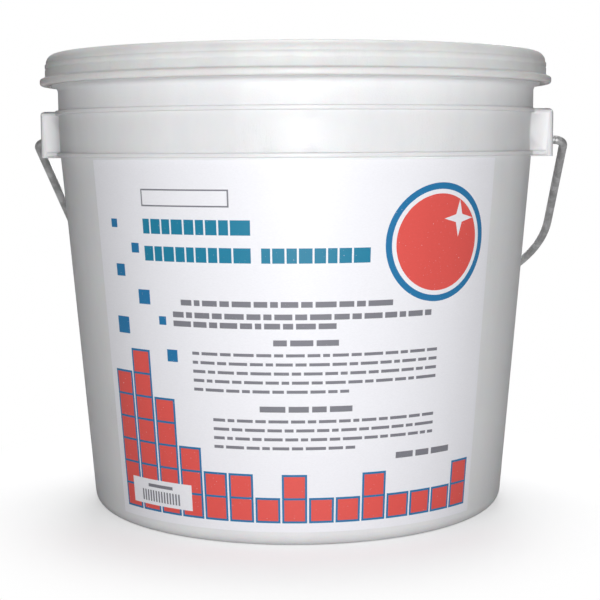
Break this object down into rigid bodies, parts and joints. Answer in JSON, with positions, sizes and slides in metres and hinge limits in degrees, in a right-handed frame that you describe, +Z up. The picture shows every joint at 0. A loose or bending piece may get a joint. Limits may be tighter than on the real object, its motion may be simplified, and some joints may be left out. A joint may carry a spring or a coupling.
{
  "type": "dishwasher detergent pail",
  "caption": "Round tapered plastic pail of detergent powder with a snap lid, box ears, a wire bail with a hand grip and a printed label on its front.",
  "frame": {"origin": "centre of the foot ring, on the surface that the pail stands on", "axes": "+Z up along the pail's axis, +X along the bail's hinge towards the right ear, -Y to the front with the label"},
  "size_m": [0.2462, 0.2328, 0.203],
  "materials": {
    "body_plastic": "satin",
    "lid_plastic": "satin",
    "galvanised_wire": "satin",
    "grip_plastic": "satin",
    "label_paper": "satin",
    "powder": "matte"
  },
  "bodies": {
    "pail": {"pail_body": "body_plastic", "label": "label_paper", "detergent": "powder"},
    "lid": {"lid": "lid_plastic"},
    "bail": {"bail": "galvanised_wire"},
    "grip": {"bail_grip": "grip_plastic"}
  },
  "joints": [
    {"name": "lid_lift", "type": "slide", "parent": "pail", "child": "lid", "axis": [0, 0, 1], "range_m": [0, 0.14]},
    {"name": "bail_swing", "type": "hinge", "parent": "pail", "child": "bail", "pos_m": [0, 0, 0.1645], "axis": [1, 0, 0], "range_deg": [0, 254.8]},
    {"name": "grip_spin", "type": "hinge", "parent": "bail", "child": "grip", "pos_m": [0, 0.10861, 0.08098], "axis": [1, 0, 0], "continuous": true}
  ]
}
